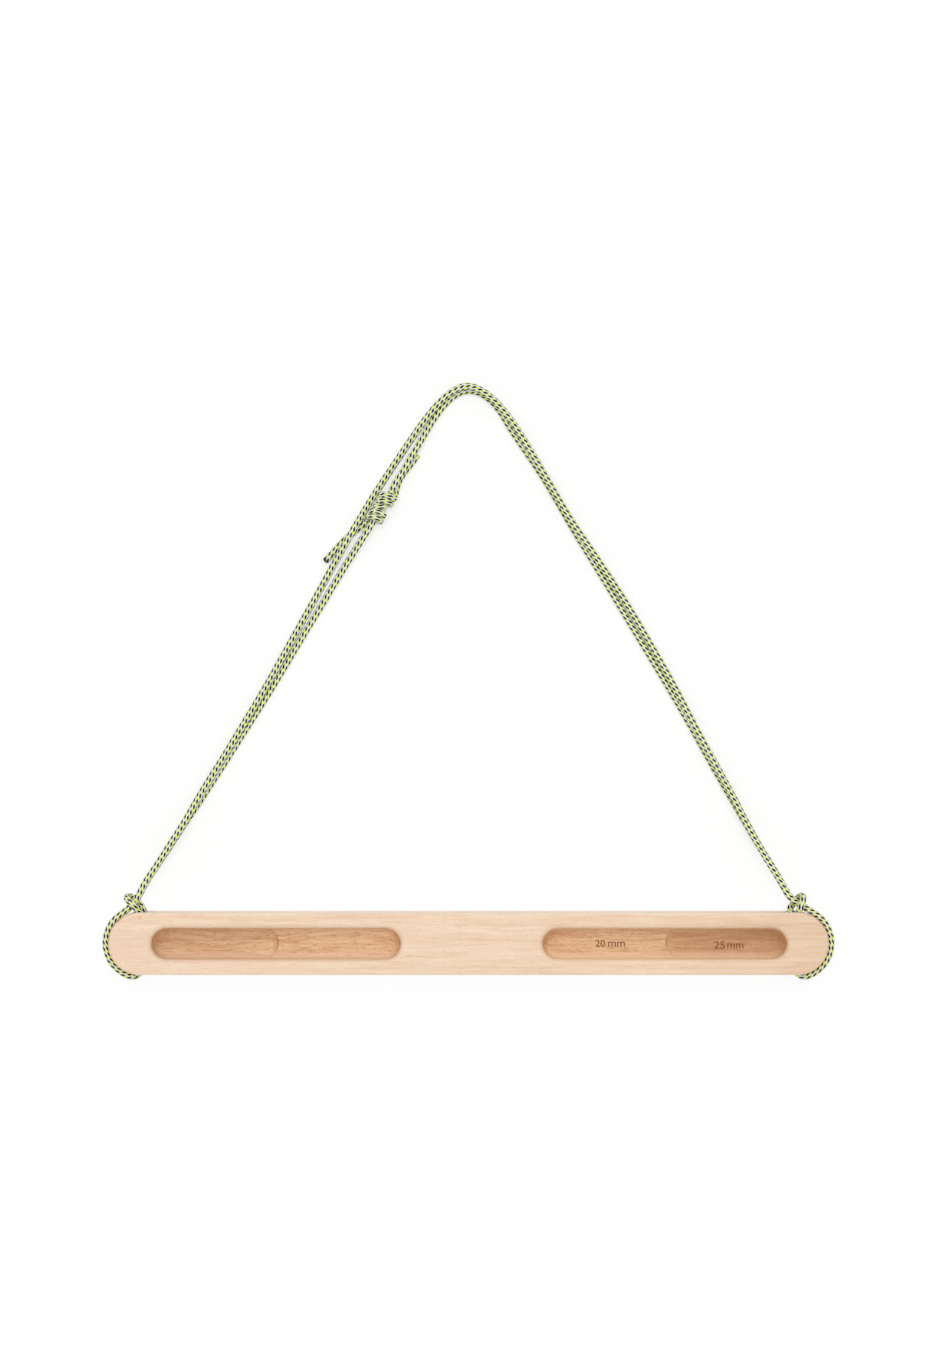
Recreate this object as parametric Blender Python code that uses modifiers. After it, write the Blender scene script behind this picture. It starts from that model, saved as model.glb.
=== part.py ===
"""Portable hangboard: a wooden bar with two stepped finger pockets, hung from one loop of cord.

Metres, +Z up. The bar lies on its back with its pockets facing up (+Z), its length along X,
and the sling spread out flat towards +Y. The origin is the middle of the bar's back face.
"""

import math

import bmesh
import bpy
import numpy as np
from mathutils import Vector

# Wooden bar
BAR_LENGTH = 0.580
BAR_HEIGHT = 0.050
BAR_THICKNESS = 0.040
BAR_EDGE_ROUND = 0.002

# Finger pockets: an inset is how much wood is left outside the pocket at the bar's end
POCKET_HEIGHT = 0.025
SHALLOW_DEPTH = 0.020
DEEP_DEPTH = 0.025
LIP_ROUND = 0.004
FLOOR_ROUND = 0.006
LEFT_POCKET_INSET = 0.035
LEFT_POCKET_LENGTH = 0.200
LEFT_DEEP_LENGTH = 0.102
RIGHT_POCKET_INSET = 0.034
RIGHT_POCKET_LENGTH = 0.196
RIGHT_DEEP_LENGTH = 0.097

# Cord, and the bores that it is hitched through
CORD_DIAMETER = 0.0055
CORD_GAP = 0.00045
JOINT_GAP = 0.0003
BORE_DIAMETER = 0.0130
BORE_INSET = 0.026
BORE_MOUTH_CHAMFER = 0.0040
HITCH_SLACK = 0.0003
BORE_TURN_RADIUS = 0.0075
LEFT_WRAP_START = 58
RIGHT_WRAP_START = 64

# Joining knot, pulled tight so that its cord is thinner than elsewhere
KNOT_CENTRE = (-0.0702, 0.3528, 0.0079)
KNOT_AXIS = (-0.517, -0.856, 0.0)
KNOT_CORD_DIAMETER = 0.0040
KNOT_PITCH = 0.0050
KNOT_WRAP_RADIUS = 0.0050

# Hinge line of the sling, across both hitches
PIVOT_FORWARD = 0.040
PIVOT_REACH = 0.0062

# Sling, spread out flat: where its legs begin, how high its top is, and the bores it was laid for
LEG_LEVEL = 0.0468
TOP_LEVEL = 0.4472
LAID_FOR_BORES = 0.264

# How finely round shapes are divided
BAR_END_STEPS = 24
POCKET_END_STEPS = 16
ROUNDING_STEPS = 4
BORE_STEPS = 24
CUT_MARGIN = 0.003
WINDING_TURN = math.radians(15)
WINDING_STEP = 0.006
STRAND_TURN = math.radians(11)
STRAND_STEP = 0.026
END_STEP = 0.0018

HALF_THICKNESS = BAR_THICKNESS / 2
BORE_FROM_MIDDLE = BAR_LENGTH / 2 - BORE_INSET
CORD_RADIUS = CORD_DIAMETER / 2
KNOT_CORD_RADIUS = KNOT_CORD_DIAMETER / 2
PAIR_OFFSET = (CORD_DIAMETER + CORD_GAP) / 2
WRAP_RADIUS = BAR_HEIGHT / 2 + CORD_RADIUS + HITCH_SLACK

# Routes of the free cord, each from the bar outwards
LEFT_BACK_ROUTE = [
    (-0.2619, 0.0468, 0.0160), (-0.2517, 0.0628, 0.0122), (-0.2412, 0.0787, 0.0083),
    (-0.2309, 0.0948, 0.0053), (-0.2201, 0.1110, 0.0036), (-0.1991, 0.1434, 0.0028),
    (-0.1785, 0.1759, 0.0028), (-0.1581, 0.2084, 0.0028), (-0.1387, 0.2409, 0.0028),
    (-0.1191, 0.2733, 0.0029), (-0.0995, 0.3058, 0.0048), (-0.0893, 0.3219, 0.0068),
]
LEFT_FRONT_ROUTE = [
    (-0.2622, 0.0468, 0.0220), (-0.2519, 0.0628, 0.0182), (-0.2419, 0.0788, 0.0144),
    (-0.2315, 0.0950, 0.0114), (-0.2223, 0.1111, 0.0096), (-0.2026, 0.1435, 0.0078),
    (-0.1828, 0.1759, 0.0076), (-0.1635, 0.2084, 0.0064), (-0.1455, 0.2408, 0.0042),
    (-0.1275, 0.2733, 0.0030), (-0.1185, 0.2895, 0.0032), (-0.1096, 0.3057, 0.0050),
    (-0.1049, 0.3138, 0.0070), (-0.1004, 0.3220, 0.0086), (-0.0957, 0.3302, 0.0089),
    (-0.0909, 0.3385, 0.0076), (-0.0862, 0.3466, 0.0045), (-0.0814, 0.3547, 0.0031),
    (-0.0712, 0.3708, 0.0028), (-0.0605, 0.3870, 0.0028), (-0.0496, 0.4032, 0.0030),
    (-0.0383, 0.4194, 0.0044), (-0.0251, 0.4357, 0.0072), (-0.0150, 0.4449, 0.0085),
]
APEX_FRONT_ROUTE = [(-0.0008, 0.4505, 0.0087)]
RIGHT_FRONT_ROUTE = [
    (0.2538, 0.0468, 0.0220), (0.2443, 0.0628, 0.0182), (0.2350, 0.0788, 0.0144),
    (0.2261, 0.0950, 0.0114), (0.2178, 0.1111, 0.0097), (0.2005, 0.1435, 0.0087),
    (0.1831, 0.1759, 0.0084), (0.1662, 0.2084, 0.0072), (0.1480, 0.2408, 0.0050),
    (0.1288, 0.2733, 0.0054), (0.1077, 0.3057, 0.0073), (0.0968, 0.3219, 0.0080),
    (0.0857, 0.3381, 0.0084), (0.0665, 0.3705, 0.0086), (0.0474, 0.4030, 0.0080),
    (0.0371, 0.4192, 0.0078), (0.0244, 0.4354, 0.0086), (0.0134, 0.4452, 0.0088),
]
RIGHT_BACK_ROUTE = [
    (0.2539, 0.0468, 0.0160), (0.2449, 0.0628, 0.0122), (0.2350, 0.0787, 0.0083),
    (0.2255, 0.0948, 0.0053), (0.2163, 0.1110, 0.0036), (0.1978, 0.1434, 0.0028),
    (0.1799, 0.1759, 0.0028), (0.1612, 0.2084, 0.0028), (0.1417, 0.2409, 0.0028),
    (0.1223, 0.2733, 0.0028), (0.1027, 0.3058, 0.0028), (0.0830, 0.3383, 0.0028),
    (0.0643, 0.3708, 0.0028), (0.0430, 0.4032, 0.0028), (0.0323, 0.4195, 0.0028),
    (0.0215, 0.4357, 0.0028), (0.0118, 0.4438, 0.0028),
]
APEX_BACK_ROUTE = [
    (0.0000, 0.4472, 0.0028), (-0.0109, 0.4434, 0.0028), (-0.0194, 0.4357, 0.0028),
    (-0.0311, 0.4194, 0.0032), (-0.0406, 0.4031, 0.0058), (-0.0455, 0.3950, 0.0074),
    (-0.0501, 0.3868, 0.0082), (-0.0550, 0.3787, 0.0086), (-0.0600, 0.3706, 0.0083),
]

# Tails, and where each hitch passes over and under its own strands. A tail is measured in the
# knot's own frame: along the leg, across it, and up. A hitch is measured from where its bore's
# axis crosses the bar's middle: outwards, up the bar, and forwards.
LOWER_TAIL = [
    (0.0153, -0.0049, -0.0041), (0.0198, -0.0057, -0.0050), (0.0268, -0.0080, -0.0051),
    (0.0339, -0.0108, -0.0051), (0.0484, -0.0143, -0.0051), (0.0621, -0.0169, -0.0051),
]
UPPER_TAIL = [
    (-0.0127, 0.0044, -0.0041), (-0.0160, 0.0034, -0.0050), (-0.0212, 0.0017, -0.0051),
    (-0.0320, 0.0008, -0.0051), (-0.0410, 0.0019, -0.0051), (-0.0516, 0.0030, -0.0051),
]
LEFT_CROSSING = [
    (0.0000, 0.0170, -0.0030), (-0.0006, 0.0215, -0.0031), (-0.0010, 0.0248, -0.0038),
    (-0.0002, 0.0276, -0.0053), (0.0016, 0.0299, -0.0071), (0.0035, 0.0318, -0.0085),
    (0.0052, 0.0337, -0.0094), (0.0071, 0.0354, -0.0090), (0.0094, 0.0367, -0.0066),
    (0.0114, 0.0371, -0.0026), (0.0119, 0.0367, 0.0018), (0.0112, 0.0354, 0.0057),
    (0.0087, 0.0331, 0.0086), (0.0073, 0.0318, 0.0091), (0.0055, 0.0296, 0.0084),
    (0.0042, 0.0275, 0.0066), (0.0028, 0.0251, 0.0045), (0.0010, 0.0220, 0.0032),
    (0.0000, 0.0180, 0.0030),
]
RIGHT_CROSSING = [
    (0.0000, 0.0170, -0.0030), (-0.0010, 0.0215, -0.0031), (-0.0030, 0.0250, -0.0038),
    (-0.0035, 0.0275, -0.0056), (-0.0022, 0.0297, -0.0076), (-0.0006, 0.0316, -0.0091),
    (0.0010, 0.0341, -0.0095), (0.0032, 0.0363, -0.0075), (0.0051, 0.0376, -0.0038),
    (0.0059, 0.0377, 0.0010), (0.0062, 0.0366, 0.0050), (0.0058, 0.0344, 0.0079),
    (0.0050, 0.0320, 0.0090), (0.0044, 0.0300, 0.0091), (0.0033, 0.0275, 0.0079),
    (0.0022, 0.0251, 0.0057), (0.0009, 0.0215, 0.0034), (0.0000, 0.0170, 0.0030),
]
LEFT_STANDING = [(-0.0018, 0.0468), (0.0048, 0.0346), (0.0114, 0.0273)]
RIGHT_STANDING = [(-0.0102, 0.0468), (-0.0012, 0.0342), (0.0052, 0.0302)]

# How far along the leg, and how far out, each half of the joining knot is at each angle
KNOT_RISE = [
    (-90, -0.0066, 0.0000), (0, -0.0037, 0.0007), (90, 0.0000, 0.0037),
    (180, 0.0026, 0.0046), (270, 0.0055, KNOT_WRAP_RADIUS), (360, 0.0056, KNOT_WRAP_RADIUS),
]


def collection(name):
    """A new collection in the scene."""
    made = bpy.data.collections.new(name)
    bpy.context.scene.collection.children.link(made)
    return made


def material(name, colour, roughness):
    """A plain Principled material of one colour."""
    made = bpy.data.materials.new(name)
    made.use_nodes = True
    shader = made.node_tree.nodes["Principled BSDF"]
    shader.inputs["Base Color"].default_value = (*colour, 1.0)
    shader.inputs["Roughness"].default_value = roughness
    made.diffuse_color = (*colour, 1.0)
    return made


def stadium(length, height, inset, level, steps):
    """Points of an outline with two straight sides and two half-round ends, at one height."""
    radius = height / 2 - inset
    middle = (length - height) / 2
    turn = np.linspace(-math.pi / 2, math.pi / 2, steps + 1)
    right = np.column_stack([middle + radius * np.cos(turn), radius * np.sin(turn)])
    outline = np.vstack([right, -right])
    return np.column_stack([outline, np.full(len(outline), level)])


def loft(name, sections, centre_x, group):
    """A closed solid through outlines of equal counts, from the lowest to the highest."""
    shape = bmesh.new()
    rings = [[shape.verts.new((x + centre_x, y, z)) for x, y, z in ring] for ring in sections]
    for lower, upper in zip(rings, rings[1:]):
        for i in range(len(lower)):
            j = (i + 1) % len(lower)
            shape.faces.new((lower[i], lower[j], upper[j], upper[i]))
    shape.faces.new(list(reversed(rings[0])))
    shape.faces.new(rings[-1])
    mesh = bpy.data.meshes.new(name)
    shape.to_mesh(mesh)
    shape.free()
    made = bpy.data.objects.new(name, mesh)
    group.objects.link(made)
    return made


def quarter():
    """Angles of a quarter round, from 0 to 90 degrees."""
    return np.linspace(0.0, math.pi / 2, ROUNDING_STEPS + 1)


def bar_blank(group):
    """The bar before it is cut: half-round ends, and a small round on both outlines."""
    rows = [(BAR_EDGE_ROUND * (1 - math.sin(a)), BAR_EDGE_ROUND * (1 - math.cos(a))) for a in quarter()]
    rows += [(inset, BAR_THICKNESS - level) for inset, level in reversed(rows)]
    sections = [stadium(BAR_LENGTH, BAR_HEIGHT, inset, level, BAR_END_STEPS) for inset, level in rows]
    return loft("wooden_bar", sections, 0.0, group)


def floor_rows(depth):
    """Insets and heights of a pocket's floor, rounded up into its walls."""
    floor = BAR_THICKNESS - depth
    return [(FLOOR_ROUND * (1 - math.sin(a)), floor + FLOOR_ROUND * (1 - math.cos(a))) for a in quarter()]


def lip_rows():
    """Insets and heights of a pocket's lip, flaring out to the front face and past it."""
    wall_top = BAR_THICKNESS - LIP_ROUND
    rows = [(-LIP_ROUND * (1 - math.cos(a)), wall_top + LIP_ROUND * math.sin(a)) for a in quarter()]
    return rows + [(-LIP_ROUND, BAR_THICKNESS + CUT_MARGIN)]


def pocket_cutters(side, inset, length, deep_length, group):
    """Cutters of one pocket: the shallow slot at its full length and the deep outer part."""
    sign = -1 if side == "left" else 1
    outer_end = BAR_LENGTH / 2 - inset
    shallow_rows = floor_rows(SHALLOW_DEPTH) + lip_rows()
    deep_rows = floor_rows(DEEP_DEPTH) + [lip_rows()[0]]
    plans = [
        (f"{side}_shallow_cut", length, shallow_rows),
        (f"{side}_deep_cut", deep_length, deep_rows),
    ]
    cutters = []
    for name, span, rows in plans:
        sections = [stadium(span, POCKET_HEIGHT, inset, level, POCKET_END_STEPS) for inset, level in rows]
        cutters.append(loft(name, sections, sign * (outer_end - span / 2), group))
    return cutters


def bore_cutter(side, group):
    """A turned cutter across the bar's height, with a chamfer at both mouths."""
    radius = BORE_DIAMETER / 2
    mouth = BAR_HEIGHT / 2
    flare = radius + BORE_MOUTH_CHAMFER + CUT_MARGIN
    half = [(0.0, mouth + CUT_MARGIN), (flare, mouth + CUT_MARGIN), (radius, mouth - BORE_MOUTH_CHAMFER)]
    profile = half + [(x, -y) for x, y in reversed(half)]
    name = f"{side}_bore_cut"
    mesh = bpy.data.meshes.new(name)
    points = [(x, 0.0, y) for x, y in profile]
    mesh.from_pydata(points, [(i, i + 1) for i in range(len(points) - 1)], [])
    made = bpy.data.objects.new(name, mesh)
    group.objects.link(made)
    turn = made.modifiers.new("Turn", "SCREW")
    turn.steps = turn.render_steps = BORE_STEPS
    turn.use_merge_vertices = True
    turn.merge_threshold = 0.00001
    made.location = ((-1 if side == "left" else 1) * BORE_FROM_MIDDLE, 0.0, HALF_THICKNESS)
    made.rotation_euler = (math.radians(90), 0.0, 0.0)
    return made


def build_bar(group, cutters_group, wood):
    """The bar, with its pockets and bores cut by live Boolean modifiers."""
    bar = bar_blank(group)
    cutters = pocket_cutters(
        "left", LEFT_POCKET_INSET, LEFT_POCKET_LENGTH, LEFT_DEEP_LENGTH, cutters_group
    )
    cutters += pocket_cutters(
        "right", RIGHT_POCKET_INSET, RIGHT_POCKET_LENGTH, RIGHT_DEEP_LENGTH, cutters_group
    )
    cutters += [bore_cutter("left", cutters_group), bore_cutter("right", cutters_group)]
    for cutter in cutters:
        cutter.hide_render = True
        cutter.display_type = "WIRE"
        cut = bar.modifiers.new(cutter.name, "BOOLEAN")
        cut.operation = "DIFFERENCE"
        cut.solver = "EXACT"
        cut.object = cutter
    bar.data.materials.append(wood)
    return bar


def spline(knots, values, at):
    """Values of the natural cubic spline through the given values, where they are wanted."""
    values = np.asarray(values, dtype=float)
    count = len(knots)
    span = np.diff(knots)[:, None]
    slope = np.diff(values, axis=0) / span
    system = np.eye(count)
    wanted = np.zeros_like(values)
    for i in range(1, count - 1):
        before, after = span[i - 1, 0], span[i, 0]
        system[i, i - 1 : i + 2] = before, 2 * (before + after), after
        wanted[i] = 6 * (slope[i] - slope[i - 1])
    bend = np.linalg.solve(system, wanted)
    i = np.clip(np.searchsorted(knots, at, side="right") - 1, 0, count - 2)
    after = (at - knots[i])[:, None]
    before = (knots[i + 1] - at)[:, None]
    length = span[i]
    return (
        bend[i] * before**3 / (6 * length)
        + bend[i + 1] * after**3 / (6 * length)
        + (values[i] / length - bend[i] * length / 6) * before
        + (values[i + 1] / length - bend[i + 1] * length / 6) * after
    )


def lengths_along(points):
    """Distance from the first point to each point, along the line through them."""
    return np.concatenate([[0.0], np.cumsum(np.linalg.norm(np.diff(points, axis=0), axis=1))])


def hitch_route(side, standing, crossing, wrap_start):
    """One girth hitch, from its back standing strand to its front one.

    The cord goes round the bar's half-round end and turns up into the bore, comes out under the
    two standing strands at the back, returns over them in front, and runs back beside itself.
    """
    sign = -1 if side == "left" else 1
    end_inset = (BAR_LENGTH - BAR_HEIGHT) / 2 - BORE_FROM_MIDDLE
    turn_x = BORE_TURN_RADIUS - end_inset
    turn_start = math.acos(turn_x / (WRAP_RADIUS - BORE_TURN_RADIUS))
    turn_y = -(WRAP_RADIUS - BORE_TURN_RADIUS) * math.sin(turn_start)
    wrap = np.linspace(math.radians(wrap_start), -turn_start, 9)
    turn = np.linspace(-turn_start, -math.pi, 6)[1:]
    round_end = list(standing[1:])
    round_end += [(end_inset + WRAP_RADIUS * math.cos(a), WRAP_RADIUS * math.sin(a)) for a in wrap]
    round_end += [
        (BORE_TURN_RADIUS * (1 + math.cos(a)), turn_y + BORE_TURN_RADIUS * math.sin(a)) for a in turn
    ]
    round_end += [(0.0, -0.008), (0.0, 0.005)]
    points = [(x, y, -PAIR_OFFSET) for x, y in round_end]
    points += crossing
    points += [(x, y, PAIR_OFFSET) for x, y in reversed(round_end)]
    return [(sign * (BORE_FROM_MIDDLE + x), y, HALF_THICKNESS + z) for x, y, z in points]


def knot_point(along, across, up):
    """A point of the knot's own frame, in the part's frame."""
    leg = Vector(KNOT_AXIS).normalized()
    side = Vector((0.0, 0.0, 1.0)).cross(leg)
    return tuple(Vector(KNOT_CENTRE) + leg * along + side * across + Vector((0.0, 0.0, up)))


def knot_winding(last_angle):
    """Half of the joining knot, out of the core and wound on the other half's core."""
    angles = [row[0] for row in KNOT_RISE]
    levels = [row[1:] for row in KNOT_RISE]
    while angles[-1] < last_angle:
        along, out = levels[-4]
        angles.append(angles[-1] + 90)
        levels.append((along + KNOT_PITCH, KNOT_WRAP_RADIUS))
    at = np.arange(angles[0], last_angle + 1, 15.0)
    along, out = spline(np.array(angles, dtype=float), levels, at).T
    turn = np.radians(at)
    return list(zip(along, out * np.cos(turn), out * np.sin(turn)))


def leaned(point):
    """A point of the sling, moved outwards as far as the bores are, and less towards its top."""
    x, y, z = point
    share = min(1.0, max(0.0, (TOP_LEVEL - y) / (TOP_LEVEL - LEG_LEVEL)))
    return (x + math.copysign(BORE_FROM_MIDDLE - LAID_FOR_BORES, x) * share, y, z)


def cord_route():
    """The whole cord as named stretches of route points, from the lower tail to the upper.

    Each point has the cord's radius as its fourth value.
    """
    lower = knot_winding(915)
    upper = [(-along, across, -up) for along, across, up in knot_winding(735)]
    core = [(-0.0160, 0.0, 0.0), (-0.0110, 0.0, 0.0)]
    tight = KNOT_CORD_RADIUS

    def knot_stretch(parts):
        pairs = [pair for points, radii in parts for pair in zip(points, radii)]
        return [(*leaned(knot_point(*point)), radius) for point, radius in pairs]

    def strand(points):
        return [(*leaned(point), CORD_RADIUS) for point in points]

    lower_knot = knot_stretch([
        (LOWER_TAIL[::-1], [CORD_RADIUS] * (len(LOWER_TAIL) - 1) + [tight]),
        (lower[::-1], [tight] * len(lower)),
        (core[::-1], [tight, CORD_RADIUS]),
    ])
    upper_knot = knot_stretch([
        ([(-along, across, up) for along, across, up in core], [CORD_RADIUS, tight]),
        (upper, [tight] * len(upper)),
        (UPPER_TAIL, [tight] + [CORD_RADIUS] * (len(UPPER_TAIL) - 1)),
    ])
    left = hitch_route("left", LEFT_STANDING, LEFT_CROSSING, LEFT_WRAP_START)
    right = hitch_route("right", RIGHT_STANDING, RIGHT_CROSSING, RIGHT_WRAP_START)
    return [
        ("joining_knot_lower", lower_knot),
        ("back_upper_left_leg", strand(APEX_BACK_ROUTE[:1:-1])),
        ("back_apex", strand(APEX_BACK_ROUTE[1::-1])),
        ("back_right_leg", strand(RIGHT_BACK_ROUTE[::-1])),
        ("right_hitch", [(*point, CORD_RADIUS) for point in right]),
        ("front_right_leg", strand(RIGHT_FRONT_ROUTE[:-2])),
        ("front_apex", strand(RIGHT_FRONT_ROUTE[-2:] + APEX_FRONT_ROUTE + LEFT_FRONT_ROUTE[:-3:-1])),
        ("front_left_leg", strand(LEFT_FRONT_ROUTE[-3::-1])),
        ("left_hitch", [(*point, CORD_RADIUS) for point in left[::-1]]),
        ("back_lower_left_leg", strand(LEFT_BACK_ROUTE)),
        ("joining_knot_upper", upper_knot),
    ]


def cord_stretches():
    """The cord cut into named stretches of finely spaced points, each with its radii.

    The stretches follow one smooth curve. On it they are cut short of each other by a small gap,
    and each strand has a bend of its own across the hinge line.
    """
    route = cord_route()
    points = np.array([point for _, stretch in route for point in stretch])
    knots = lengths_along(points[:, :3])
    starts = np.cumsum([0] + [len(stretch) for _, stretch in route])
    at = np.arange(0.0, knots[-1], 0.0004)
    path = spline(knots, points[:, :3], at)
    radius = np.interp(at, knots, points[:, 3])
    along = lengths_along(path)

    def where(first_knot, last_knot, level):
        near = np.where((at >= knots[first_knot]) & (at <= knots[last_knot]))[0]
        order = near[np.argsort(path[near, 1])]
        return float(np.interp(level, path[order, 1], along[order]))

    cuts = []
    for (name, _), first, last in zip(route, starts, starts[1:]):
        if not name.endswith("hitch"):
            cuts.append((name, float(np.interp(knots[first], at, along))))
            continue
        side = name.split("_")[0]
        came, leaves = ("back", "front") if side == "right" else ("front", "back")
        outer, inner = PIVOT_FORWARD + PIVOT_REACH, PIVOT_FORWARD - PIVOT_REACH
        cuts.append((f"{came}_{side}_bend", where(first - 2, first + 2, outer)))
        cuts.append((name, where(first - 2, first + 2, inner)))
        cuts.append((f"{leaves}_{side}_bend", where(last - 3, last + 1, inner)))
        cuts.append(("", where(last - 3, last + 1, outer)))
    stretches = {}
    ends = [place for _, place in cuts[1:]] + [float(along[-1])]
    for number, ((name, start), end) in enumerate(zip(cuts, ends)):
        if not name:
            continue
        if number and not cuts[number - 1][0]:
            start = cuts[number - 1][1]
        start += 0.0 if number == 0 else JOINT_GAP / 2
        end -= 0.0 if number == len(cuts) - 1 else JOINT_GAP / 2
        keep = np.concatenate([[start], along[(along > start) & (along < end)], [end]])
        line = np.column_stack([np.interp(keep, along, path[:, axis]) for axis in range(3)])
        stretches[name] = (line, np.interp(keep, along, radius))
    return stretches


def thinned(line, radii, turn, step):
    """Fewer points of a line, spaced by how much it turns and by a largest step.

    A point close to each end keeps the end faces square to the line.
    """
    pieces = np.diff(line, axis=0)
    lengths = np.linalg.norm(pieces, axis=1)
    headings = pieces / lengths[:, None]
    bends = np.arccos(np.clip((headings[1:] * headings[:-1]).sum(axis=1), -1.0, 1.0))
    share = np.convolve(np.concatenate([[0.0], bends]), np.ones(9) / 9, mode="same")
    weight = np.concatenate([[0.0], np.cumsum(np.hypot(share / turn, lengths / step))])
    along = lengths_along(line)
    first, last = np.interp([END_STEP, along[-1] - END_STEP], along, weight)
    inner = np.linspace(first, last, max(2, math.ceil(last - first) + 1))
    at = np.concatenate([[0.0], inner, [weight[-1]]])
    kept = np.column_stack([np.interp(at, weight, line[:, axis]) for axis in range(3)])
    return kept, np.interp(at, weight, radii)


def tube(name, line, radii, resolution, origin, group, sheath):
    """A round cord along a line, as a bevelled poly curve with closed ends."""
    curve = bpy.data.curves.new(name, "CURVE")
    curve.dimensions = "3D"
    curve.bevel_depth = CORD_RADIUS
    curve.bevel_resolution = resolution
    curve.use_fill_caps = True
    spline_of_points = curve.splines.new("POLY")
    spline_of_points.points.add(len(line) - 1)
    for point, place, radius in zip(spline_of_points.points, line, radii):
        point.co = (*(place - np.array(origin)), 1.0)
        point.radius = radius / CORD_RADIUS
    curve.materials.append(sheath)
    made = bpy.data.objects.new(name, curve)
    made.location = origin
    group.objects.link(made)
    return made


def least_gap(line, radii):
    """The smallest gap between parts of one stretch that are well apart along it."""
    along = lengths_along(line)
    least = math.inf
    for i in range(0, len(line), 3):
        apart = np.abs(along - along[i]) > 2.5 * CORD_DIAMETER
        if apart.any():
            gaps = np.linalg.norm(line[apart] - line[i], axis=1) - radii[apart] - radii[i]
            least = min(least, float(gaps.min()))
    return least


def build_cord(group, sheath):
    """Every stretch of the cord, the wound ones at the finer steps."""
    hinge = (0.0, PIVOT_FORWARD, HALF_THICKNESS)
    length = 0.0
    for name, (line, radii) in cord_stretches().items():
        length += lengths_along(line)[-1]
        wound = "hitch" in name or "knot" in name
        if wound:
            print(f"{name}: least gap to itself {least_gap(line, radii) * 1000:.2f} mm")
        turn, step = (WINDING_TURN, WINDING_STEP) if wound else (STRAND_TURN, STRAND_STEP)
        origin = hinge
        if "hitch" in name:
            sign = -1 if name.startswith("left") else 1
            origin = (sign * BORE_FROM_MIDDLE, 0.0, HALF_THICKNESS)
        kept = thinned(line, radii, turn, step)
        tube(name, *kept, 1 if wound else 2, origin, group, sheath)
    print(f"cord: {length * 1000:.0f} mm from end to end")


for leftover in list(bpy.data.objects):
    bpy.data.objects.remove(leftover, do_unlink=True)
hangboard = collection("portable_hangboard")
cutters = collection("cutters")
beech = material("beech", (0.85, 0.66, 0.47), 0.55)
braid = material("braided_cord", (0.72, 0.80, 0.30), 0.8)
build_bar(hangboard, cutters, beech)
build_cord(hangboard, braid)
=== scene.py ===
"""Portable hangboard: a beech bar with two stepped finger pockets, hung from one loop of braided cord.

Metres, +Z up. The bar lies on its back with its pockets facing up (+Z), its length along X, and
the sling spread out flat towards +Y. The origin is the middle of the bar's back face.
"""

import math

import bmesh
import bpy
import numpy as np
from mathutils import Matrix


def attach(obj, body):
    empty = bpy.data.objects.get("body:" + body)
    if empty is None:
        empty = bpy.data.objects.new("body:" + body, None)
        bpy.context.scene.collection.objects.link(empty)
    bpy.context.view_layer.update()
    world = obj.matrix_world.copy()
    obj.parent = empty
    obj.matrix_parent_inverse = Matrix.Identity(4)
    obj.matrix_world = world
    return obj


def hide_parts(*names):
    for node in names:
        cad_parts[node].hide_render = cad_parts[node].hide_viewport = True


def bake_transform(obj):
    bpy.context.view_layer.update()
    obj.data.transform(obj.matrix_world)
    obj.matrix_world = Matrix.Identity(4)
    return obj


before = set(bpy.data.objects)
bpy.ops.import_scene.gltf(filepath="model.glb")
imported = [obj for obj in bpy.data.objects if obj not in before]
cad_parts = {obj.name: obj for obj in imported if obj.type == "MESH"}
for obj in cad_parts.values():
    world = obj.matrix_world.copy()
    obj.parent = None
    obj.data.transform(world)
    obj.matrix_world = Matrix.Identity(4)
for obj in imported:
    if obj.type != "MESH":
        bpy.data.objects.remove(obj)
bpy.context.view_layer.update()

# Camera, straight above the bar and the sling
CAMERA_PLACE = (-0.0008, 0.2100, 4.0400)
CAMERA_LENS = 131.05

# Wooden bar, its pockets and its bores
BAR_LENGTH = 0.580
BAR_HEIGHT = 0.050
BAR_THICKNESS = 0.040
BAR_EDGE_ROUND = 0.002
POCKET_HEIGHT = 0.025
SHALLOW_DEPTH = 0.020
DEEP_DEPTH = 0.025
LIP_ROUND = 0.004
FLOOR_ROUND = 0.006
LEFT_POCKET = (-0.255, -0.055)
LEFT_DEEP = (-0.255, -0.153)
RIGHT_POCKET = (0.060, 0.256)
RIGHT_DEEP = (0.159, 0.256)
BAR_END_STEPS = 96
POCKET_END_STEPS = 64
SHARP_ANGLE = 35
LEVEL = 0.9999
NEARLY_LEVEL_ANGLE = 15
BORE_DIAMETER = 0.0130
BORE_FROM_MIDDLE = 0.264
BORE_MOUTH = 0.0040
BORE_SIDES = 64
CUT_MARGIN = 0.003

# Depth marks burnt into the floors of the right pocket: words, middle, width and height
DEPTH_MARKS = [
    ("20", (0.1065, -0.0005, 0.020), 0.0078, 0.0059),
    ("mm", (0.1197, -0.0011, 0.020), 0.0136, 0.0043),
    ("25", (0.2032, -0.0022, 0.015), 0.0089, 0.0059),
    ("mm", (0.2160, -0.0028, 0.015), 0.0132, 0.0043),
]
MARK_DEPTH = 0.0003
MARK_BOLDNESS = 0.012

# Grain of the beech: lumps to the metre along the bar and across it, and how finely they divide
SWAY = (13.0, 26.0, 2.0)
BANDS = (5.0, 130.0, 2.0)
STREAKS = (24.0, 430.0, 3.0)
FIBRE = (60.0, 1400.0, 2.0)
DASHES = (230.0, 1500.0, 1.0)
BLUSH = (5.0, 30.0, 2.0)
CHAR = (3000.0, 3000.0, 2.0)

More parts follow.
